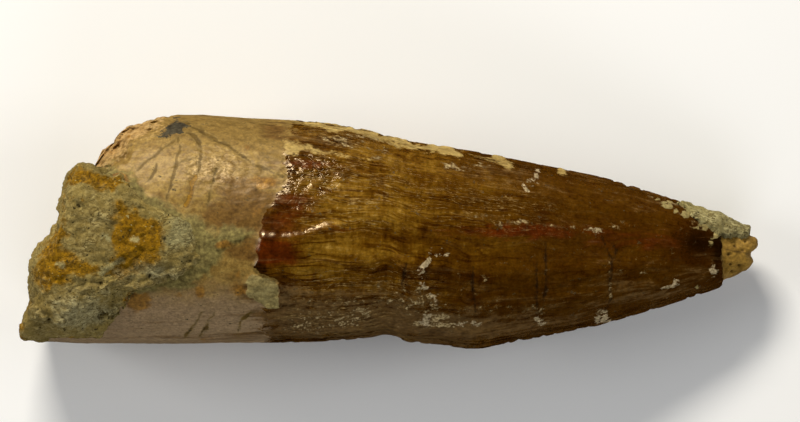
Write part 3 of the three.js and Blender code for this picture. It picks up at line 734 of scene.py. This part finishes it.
OUTER_FINISHES = [
    ("film", 1.6, "mottle", -0.9, 0.4, "#584d25", "#857943", "fine", 0.8, 0.95),
    ("ochre", 0.9, "mottle", 0.35, 0.95, "#6d450c", "#9d6f22", "fine", 0.7, 0.85),
    ("broken", 1.2, "clumps", 0.45, 0.9, "#8a5f28", "#c2a066", "clumps", 0.8, 0.85),
    ("crack", 0.4, "clumps", 0.4, 0.0, "#6d5a2c", "#857038", "fine", 0.5, 0.5),
    ("crack", 0.12, "clumps", 0.18, 0.0, "#453207", "#6b5013", "mottle", 0.6, 0.92),
    ("fill", 0.4, "clumps", -0.05, 0.2, "#402a06", "#6b4c14", "clumps", 0.6, 0.95),
    ("fill", 0.4, "clumps", 0.1, 0.24, "#634204", "#a27614", "clumps", 0.6, 0.95),
    ("soot", 1.4, "clumps", 0.42, 0.72, "#12110d", "#423e2f", "fine", 0.7, 1.0),
    ("cream", 0.8, "clumps", -0.08, 0.45, "#7d5f22", "#cbae64", "clumps", 0.6, 0.9),
    ("block", 0.25, "clumps", -0.08, 0.08, "#5c4c22", "#b2a166", "clumps", 0.75, 1.0),
    ("specks", 1.4, "clumps", 0.62, 0.9, "#382508", "#66491c", "dust", 0.6, 0.75),
    ("specks", 1.5, "clumps", 0.92, 1.1, "#6d5329", "#bda878", "dust", 0.85, 0.95),
    ("chalk", 1.2, "clumps", -0.04, 0.2, "#82714e", "#c4b089", "dust", 0.85, 1.0),
    # Painted shade in the pores and the split of the bare tip.
    ("pores", 0.1, "fine", 0.3, 0.12, "#3a260e", "#3a260e", "fine", 0.8, 0.7),
]
# The enamel's colours from its darkest tone to its palest, each (tone, colour).
ENAMEL_TONES = [(0.0, "#1c0b00"), (0.25, "#3b1d00"), (0.5, "#5b3904"), (0.75, "#835e17"), (1.0, "#b48e40")]


def enamel_colour(tree, noise_of, field):
    """From nearly black through chestnut to gold, by the enamel's depth of tone and its striae."""
    lines = add(tree, "Math", {0: noise_of["veins"], 1: noise_of["broad"]}, operation="MULTIPLY").outputs[0]
    shares = {"streaks": 1.0, "striae": 0.5, "hairs": 0.2, "rings": 0.5, "mottle": 1.3, "clumps": 0.8}
    waves = total(tree, noise_of["broad"], [(noise_of[name], share) for name, share in shares.items()])
    waves = total(tree, waves, [(lines, -1.4)])
    waves = add(tree, "Math", {0: waves, 1: 2.4}, operation="SUBTRACT").outputs[0]
    # Darker where the enamel is dark, and where shade is painted beside the pale block and at the tip.
    tone = total(tree, field["gold"], [(waves, field["lively"]), (field["dark_tone_and_shade"], -0.5)])
    tone = add(tree, "MapRange", {0: tone, 1: -0.5}).outputs[0]
    ramp = add(tree, "ValToRGB", {"Fac": tone})
    while len(ramp.color_ramp.elements) < len(ENAMEL_TONES):
        ramp.color_ramp.elements.new(0.5)
    for element, (position, colour) in zip(ramp.color_ramp.elements, ENAMEL_TONES):
        element.position = position
        element.color = linear(colour)
    return ramp.outputs["Color"]


def fossil_enamel_and_dentine():
    """Enamel and dentine turned to phosphate and iron oxide, then worn: the enamel is glassy and brown with
    striae along it, and the root is satin and beige with a faint grain."""
    material, tree = new_material("fossil_enamel_and_dentine")
    lay = add(tree, "Attribute", attribute_name="lay").outputs["Vector"]
    place = add(tree, "TexCoord").outputs["Object"]
    field = {
        name: add(tree, "Attribute", attribute_name=name).outputs["Fac"]
        for name in ("gold", "lively", "dark_tone_and_shade", "enamel", "glint_and_painted_sheen")
    }
    # Object coordinates are metres, so a scale of 1000 is a pattern of 1 mm. Lay is in millimetres.
    noise_of = noises(
        tree,
        {
            "broad": (place, 1, 1, 130.0, 3.0, 0.5),
            "mottle": (place, 1, 1, 420.0, 5.0, 0.62),
            "fine": (place, 1, 1, 1700.0, 3.0, 0.6),
            "dust": (place, 1, 1, 3300.0, 2.0, 0.5),
            "clumps": (place, 0.7, 1, 1000.0, 4.0, 0.75),
            "dents": (lay, 0.6, 1, 1.3, 1.5, 0.4),
            "streaks": (lay, 0.07, 1, 0.8, 5.0, 0.7),
            "striae": (lay, 0.15, 1, 2.0, 4.0, 0.7),
            "hairs": (lay, 0.22, 1, 4.2, 2.0, 0.6),
            "rings": (lay, 1, 0.1, 1.5, 3.0, 0.6),
            "veins": (lay, 0.06, 1, 1.1, 2.0, 0.5),
            "scuffs": (lay, 0.09, 1, 2.1, 3.0, 0.5),
        },
    )
    # Hair-fine lines along the crown: dark cracks, and pale scuffs.
    noise_of["veins"] = winding_lines(tree, noise_of["veins"], 0.12)
    noise_of["scuffs"] = winding_lines(tree, noise_of["scuffs"], 0.09)

    rough = add(tree, "MapRange", {0: noise_of["fine"], 3: 0.14, 4: 0.26}).outputs[0]
    colour, rough = weathering(tree, noise_of, ENAMEL_FINISHES, enamel_colour(tree, noise_of, field), rough)

    # Dentine of the root, and of the bare tip, up to the enamel's worn edge.
    shades = {0: noise_of["clumps"], 6: "#6a4d1c", 7: "#a48643"}
    dentine = add(tree, "Mix", shades, data_type="RGBA").outputs[2]
    dentine, dentine_rough = weathering(tree, noise_of, DENTINE_FINISHES, dentine, 0.5)
    edge = total(tree, field["enamel"], [(noise_of["clumps"], 0.5)])
    edge = add(tree, "MapRange", {0: edge, 1: 0.42, 2: 0.2}, interpolation_type="SMOOTHSTEP").outputs[0]
    colour = add(tree, "Mix", {0: edge, 6: colour, 7: dentine}, data_type="RGBA").outputs[2]
    rough = add(tree, "Mix", {0: edge, 2: rough, 3: dentine_rough}).outputs[0]
    colour, rough = weathering(tree, noise_of, OUTER_FINISHES, colour, rough)
    # Crackle in plates of about 1 mm, only where the surface glints.
    spread = add(tree, "Mapping", {"Vector": lay, "Scale": (0.7, 1, 1)}).outputs[0]
    plates = add(tree, "TexVoronoi", {"Vector": spread, "Scale": 1.1}, feature="DISTANCE_TO_EDGE")
    gaps = {0: plates.outputs["Distance"], 2: 0.1, 3: 1.0, 4: 0.0}
    cracked = add(tree, "MapRange", gaps, interpolation_type="SMOOTHSTEP").outputs[0]
    cracked = add(tree, "Math", {0: cracked, 1: field["glint_and_painted_sheen"]}, operation="MULTIPLY").outputs[0]
    # Dirt in the finest relief, drawn at 0.3 mm so that it shows, and painted shade in the crackle of the
    # plates where the surface glints.
    grime_and_crackle_shade = total(tree, 0.56, [(noise_of["dust"], 0.34), (noise_of["fine"], 0.36), (cracked, -0.2)])
    soiled_and_shaded = {0: 1.0, 6: colour, 7: grime_and_crackle_shade}
    colour = add(tree, "Mix", soiled_and_shaded, data_type="RGBA", blend_type="MULTIPLY").outputs[2]

    shares = {"hairs": 0.3, "fine": 0.6, "striae": 0.5, "clumps": 1.0, "dents": 5.0}
    relief = total(tree, 0.0, [(cracked, -0.7)] + [(noise_of[name], share) for name, share in shares.items()])
    strength = total(tree, 0.1, [(field["glint_and_painted_sheen"], 0.5)])
    bump = add(tree, "Bump", {"Height": relief, "Strength": strength, "Distance": 0.045 * MM})
    look = {"Base Color": colour, "Roughness": rough, "Normal": bump.outputs[0], "IOR": 1.6}
    surface = add(tree, "BsdfPrincipled", look | {"Specular Tint": "#ffe4b9"})
    add(tree, "OutputMaterial", {"Surface": surface.outputs[0]})
    return material


# ---- Sandstone ----

# Where the stone thins out to nothing on the flank that faces up, on the lower one, and at the tip.
ROOT_STONE_EDGE = [
    (-40.2, 9.6), (-38.6, 8.9), (-36.9, 8.3), (-34.7, 7.5), (-34, 5.9), (-32.6, 4.7), (-30.3, 3.9),
    (-27.4, 3.2), (-26.4, 2.3), (-25.1, 1.1), (-24.3, -0.6), (-23.8, -2.8), (-24.2, -4.5), (-25.3, -6.2),
    (-27.4, -7.5), (-30.3, -8.1), (-32.3, -8.4), (-33.6, -8.8), (-34.6, -9.6), (-35.6, -10.9),
    (-36.9, -12.2), (-37.9, -13.8), (-38.5, -16), (-60, -20), (-60, 20), (-42, 12),
]
UNDER_STONE_EDGE = [
    (-41, 9.6), (-36.5, 8.4), (-32.5, 5), (-28.5, 0), (-29.5, -6.5), (-35, -11.5), (-38.5, -14.3),
    (-40, -18), (-60, -20), (-60, 20),
]
TIP_CRUST_EDGE = [
    (37.6, 8), (37.6, 3.3), (38.9, 3.1), (40.1, 2.5), (40.6, 1.8), (41.5, 1.3), (43.4, 0.1), (45, -0.8),
    (48.1, -0.9), (49, 0.4), (50.5, 8),
]
# Rusty parts and dots, pale flecks, grey gritty ledges that are partly painted shade, smooth greenish and
# limy parts, and pits of the stone over the root, which are painted dark as shade in them.
OCHRE_PARTS = [
    [(-45.2, 6.8), (-43.7, 6.6), (-44, 4), (-43.6, 1.2), (-45.2, 1.2)],
    [
        (-43.6, 8.4), (-42, 9.4), (-39.9, 8.6), (-37.6, 7.8), (-35.3, 7.5), (-34.2, 6.5), (-36.3, 5.6),
        (-38.3, 5.5), (-40.9, 6.3), (-42.6, 6.6), (-44.6, 5), (-44.8, 6.8),
    ],
    [
        (-36.8, 4.4), (-34.6, 3.6), (-32.5, 2.5), (-30.2, 0.9), (-29.4, -1), (-30.7, -3.5), (-32.2, -5.4),
        (-36.3, -6.3), (-38.2, -5.8), (-37.2, -3.5), (-37.8, -0.2), (-36.6, 2.1),
    ],
    [
        (-45.8, 1), (-44, 1.3), (-43, -0.2), (-44.2, -1.5), (-41.2, -3.6), (-37.8, -4), (-39.6, -5.8),
        (-42.2, -6.1), (-43.5, -7.5), (-46.2, -8), (-47.8, -6.8), (-47.8, -4.5), (-46.8, -2.6),
        (-46.8, -1.2),
    ],
]
OCHRE_DOTS = [
    (-42.6, 4.3, 0.5), (-41, 4.2, 0.45), (-34.9, -9.3, 0.9), (-33.6, -9.4, 0.7), (-48.6, -10.1, 0.5),
    (-49.6, -12.9, 0.9), (-43.2, -11.4, 0.3), (-33, 5.4, 0.5),
]
PALE_FLECKS = [
    [(-38.6, -5.4), (-37.2, -4.6), (-35.8, -3.8)], [(-38.3, -0.6), (-37.6, -0.9)],
    [(-34.4, -1), (-33.9, -1.2)], [(-44.3, -4.4), (-43.6, -4.6)],
]
GRIT_AND_SHADE_LINES = [
    [(-43.2, -7.6), (-39.9, -7.4), (-36.3, -7.1), (-33, -7.4), (-30.3, -7.6), (-27, -6.8)],
    [(-47.8, -10.5), (-46.2, -11.2)],
]
SMOOTH_PARTS = [(-28.4, -1, 2.6, 1.5, 1), (-27.4, 1.4, 2.4, 1.3, 0.9), (-29.2, -3.9, 2.4, 1, 0.5)]
LIMY_PARTS = [(-41.5, -11, 4.6, 2.6, 0.9), (-31.5, -5.6, 4.2, 1.5, 0.7), (-46, 9, 3, 3, -0.3)]
STONE_PITS = [
    (-30.6, -1.4), (-30, -1), (-29.3, -1.7), (-41.6, 3.4), (-32.3, -6.2), (-31.2, -6.5), (-29.5, -6.3),
    (-47.4, -10.4), (-45.6, -12.1), (-27.4, -5.2), (-26.7, -4.2), (-28.4, -7),
]
TUCKED = 0.45  # how deep the stone's thin edge goes into the tooth, and what is thinner than this goes too


def even_form(node, cell):
    """A solid's form in small even faces, with its creases worn."""
    solid = bmesh.new()
    solid.from_mesh(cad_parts[node].data)
    bmesh.ops.remove_doubles(solid, verts=solid.verts, dist=0.001 * MM)
    coarse = bpy.data.meshes.new(node)
    solid.to_mesh(coarse)
    solid.free()
    form = bpy.data.objects.new(node, coarse)
    scene.collection.objects.link(form)
    even_faces = form.modifiers.new("even faces", "REMESH")
    even_faces.mode = "VOXEL"
    even_faces.voxel_size = cell * MM
    worn = form.modifiers.new("worn creases", "SMOOTH")
    worn.factor = 0.5
    worn.iterations = 14
    mesh = bpy.data.meshes.new_from_object(form.evaluated_get(bpy.context.evaluated_depsgraph_get()))
    bpy.data.objects.remove(form)
    return mesh


def stone_mesh(node, tooth, cell, upper_edge, lower_edge, thins_over, relief):
    """A solid's form, thinned out to nothing at its edge on the tooth, and weathered."""
    mesh = even_form(node, cell)
    skin = get(mesh, "co") / MM
    wander = wandering(skin, 1.6, 3, (7.0, 19.0))
    seen = skin[:, :2]
    above_edge, below_edge = within(seen + 0.5 * wander, upper_edge), within(seen + 0.6 * wander, lower_edge)
    inside = np.where(skin[:, 2] > 11, above_edge, below_edge)
    faces = [tuple(f.vertices) for f in tooth.polygons]
    tree = BVHTree.FromPolygons([v.co / MM for v in tooth.vertices], faces)
    found = [tree.find_nearest(point) for point in skin]
    foot, facing = [np.array([f[part] for f in found]) for part in (0, 1)]
    above = np.maximum([f[3] for f in found], 1e-6)
    # Parts of it that lie just under the tooth's surface, away from its broken end, count as below 0.
    sunk = (np.sum((skin - foot) * facing, axis=1) < 0) & (above < 0.9) & (seen[:, 0] > -40.5)
    above = np.where(sunk, -above, above)
    away = (skin - foot) / above[:, None]
    feather = smooth(inside, -0.1, np.interp(seen[:, 0], *thins_over))
    thinned = np.where(above < TUCKED, -0.5, above * feather - TUCKED * (1 - feather))
    stays = smooth(above, 2.4, 3.8)
    skin = skin + away * ((thinned - above) * (1 - stays))[:, None]
    put(mesh, skin)

    outward = get(mesh, "normal")
    seen = skin[:, :2]
    facing_up = smooth(outward[:, 2], -0.1, 0.25)
    grit_and_shade = (0.9 - to_lines(seen + 0.4 * wander, GRIT_AND_SHADE_LINES)) * facing_up
    sleek = spots(seen + 0.3 * wander, SMOOTH_PARTS) * facing_up
    pits = to_points(seen + 0.3 * wander, STONE_PITS)
    drawn = skin / (1.6, 1, 1)
    height = relief * (0.5 * clouds(skin, 3.2, 3, 3.0) + 0.32 * clouds(drawn, 0.9, 3, 5.0) - 0.25)
    height += relief * 0.55 * smooth(grit_and_shade, -0.2, 0.6) * clouds(drawn, 0.9, 3, 9.0)
    height -= relief * 0.5 * facing_up * np.exp(-((pits / 0.3) ** 2))
    height *= np.where(above < TUCKED, 0, 0.25 + 0.75 * feather) * (1 - 0.7 * np.clip(sleek, 0, 1))
    put(mesh, np.clip(skin + outward * height[:, None], box_low + (0, 0.9, 0), box_high))

    patches = np.max([within(seen + 0.45 * wander, part) for part in OCHRE_PARTS], axis=0)
    patches = np.maximum(patches, in_dots(seen + 0.5 * wander, OCHRE_DOTS))
    elsewhere = 1.6 * clouds(skin, 7.0, 3, 51.0) - 0.25 - 2 * smooth(skin[:, 0], -41, -38)
    pale = 0.35 - to_lines(seen + 0.2 * wander, PALE_FLECKS)
    tones = {
        "ochre": patches * facing_up + elsewhere * (1 - facing_up),
        "grit_and_shade": grit_and_shade,
        "sleek": sleek,
        "limy": spots(seen, LIMY_PARTS) * facing_up,
        "pale": pale * facing_up - (1 - facing_up),
        # Where the pits are, for the painted shade in them.
        "pits": np.where(facing_up > 0.5, pits, FAR),
    }
    write(mesh, tones)
    return mesh


# Finishes over the stone, with the same values in each as the tooth's.
STONE_FINISHES = [
    ("ochre", 2.0, "mottle", -0.25, 0.75, "#563800", "#9f7406", "speckle", 0.95, 0.95),
    ("limy", 0.8, "mottle", 0.1, 0.9, "#746a46", "#b4aa7c", "speckle", 0.95, 0.85),
    ("sleek", 0.5, "mottle", 0.3, 0.8, "#766e48", "#968d60", "speckle", 0.9, 0.9),
    # Grey and gritty, and in part painted shade along the ledge.
    ("grit_and_shade", 0.8, "speckle", 0.2, 1.1, "#5f4f2f", "#9a8a5a", "speckle", 0.95, 0.5),
    ("pale", 0.7, "speckle", -0.25, 0.3, "#7c734a", "#a39a6a", "speckle", 0.95, 0.8),
    # Dark in the pits, which the mesh sinks: painted shade in these hollows.
    ("pits", 0.2, "speckle", 0.3, 0.1, "#2e2817", "#2e2817", "crumbs", 0.95, 0.9),
]


def weathered_sandstone(name, shades):
    """Quartz sand bound by lime and iron rust, weathered: dull, khaki to ochre, with sand grains to see."""
    material, tree = new_material(name)
    place = add(tree, "TexCoord").outputs["Object"]
    noise_of = noises(
        tree,
        {
            "broad": (place, 1, 1, 120.0, 3.0, 0.5),
            "mottle": (place, 1, 1, 420.0, 4.0, 0.6),
            "speckle": (place, 1, 1, 1500.0, 4.0, 0.7),
            "crevices": (place, 0.6, 1, 1300.0, 3.0, 0.6),
            "crumbs": (place, 1, 1, 2100.0, 2.0, 0.5),
        },
    )
    # Sand of 0.4 mm, a medium sand that the render can just show. Object coordinates are metres.
    grains = add(tree, "TexVoronoi", {"Vector": place, "Scale": 2500.0})
    colour = add(tree, "Mix", {0: noise_of["broad"], 6: shades[0], 7: shades[1]}, data_type="RGBA").outputs[2]
    pale = add(tree, "Mix", {0: noise_of["speckle"], 6: colour, 7: shades[2]}, data_type="RGBA").outputs[2]
    colour = add(tree, "Mix", {0: noise_of["mottle"], 6: colour, 7: pale}, data_type="RGBA").outputs[2]
    colour, rough = weathering(tree, noise_of, STONE_FINISHES, colour, 0.93)
    # Dark winding crevices, which the bump also sinks: painted shade in them, in a dark brown.
    crevices = winding_lines(tree, noise_of["crevices"], 0.14)
    crevices = add(tree, "Math", {0: crevices, 1: noise_of["mottle"]}, operation="MULTIPLY").outputs[0]
    colour = add(tree, "Mix", {0: crevices, 6: colour, 7: "#4d3a0e"}, data_type="RGBA").outputs[2]
    shade = add(tree, "MapRange", {0: grains.outputs["Color"], 3: 0.75, 4: 1.25}).outputs[0]
    shaded = {0: 1.0, 6: colour, 7: shade}
    colour = add(tree, "Mix", shaded, data_type="RGBA", blend_type="MULTIPLY").outputs[2]
    for low, high, crumb in ((0.985, 1.0, "#978856"), (0.03, 0.0, "#3b3118")):
        mask = add(tree, "MapRange", {0: noise_of["crumbs"], 1: low, 2: high}).outputs[0]
        colour = add(tree, "Mix", {0: mask, 6: colour, 7: crumb}, data_type="RGBA").outputs[2]
    uneven = [(grains.outputs["Distance"], -0.5), (crevices, -0.8), (noise_of["mottle"], 1.0)]
    relief = total(tree, noise_of["speckle"], uneven)
    bump = add(tree, "Bump", {"Height": relief, "Strength": 0.8, "Distance": 0.2 * MM})
    look = {"Base Color": colour, "Roughness": rough, "Normal": bump.outputs[0], "Specular IOR Level": 0.12}
    surface = add(tree, "BsdfPrincipled", look)
    add(tree, "OutputMaterial", {"Surface": surface.outputs[0]})
    return material


tooth = tooth_mesh()
piece("fossil_tooth", tooth, fossil_enamel_and_dentine(), "tooth")
root_sandstone = weathered_sandstone("weathered_sandstone", ("#655428", "#86733c", "#ab9a62"))
thins_over = ((-34, -26), (1.0, 3.4))
root_stone = stone_mesh("root_stone", tooth, 0.25, ROOT_STONE_EDGE, UNDER_STONE_EDGE, thins_over, 1.0)
piece("root_sandstone", root_stone, root_sandstone, "root_stone")
limy_sandstone = weathered_sandstone("limy_sandstone", ("#5a4f2c", "#9a8d57", "#c6bb86"))
thins_over = ((38, 50), (0.5, 0.4))
tip_crust = stone_mesh("tip_crust", tooth, 0.14, TIP_CRUST_EDGE, TIP_CRUST_EDGE, thins_over, 0.5)
piece("tip_sandstone", tip_crust, limy_sandstone, "tip_crust")

# ---- Floor ----

sheet = bmesh.new()
bmesh.ops.create_grid(sheet, x_segments=1, y_segments=1, size=1.5)
floor_mesh = bpy.data.meshes.new("floor")
sheet.to_mesh(floor_mesh)
sheet.free()
floor = bpy.data.objects.new("floor", floor_mesh)
scene.collection.objects.link(floor)
paper, paper_tree = new_material("white_card")
card = add(paper_tree, "BsdfPrincipled", {"Base Color": "#f2f2f0", "Roughness": 0.8})
add(paper_tree, "OutputMaterial", {"Surface": card.outputs[0]})
floor_mesh.materials.append(paper)
floor.visible_glossy = False
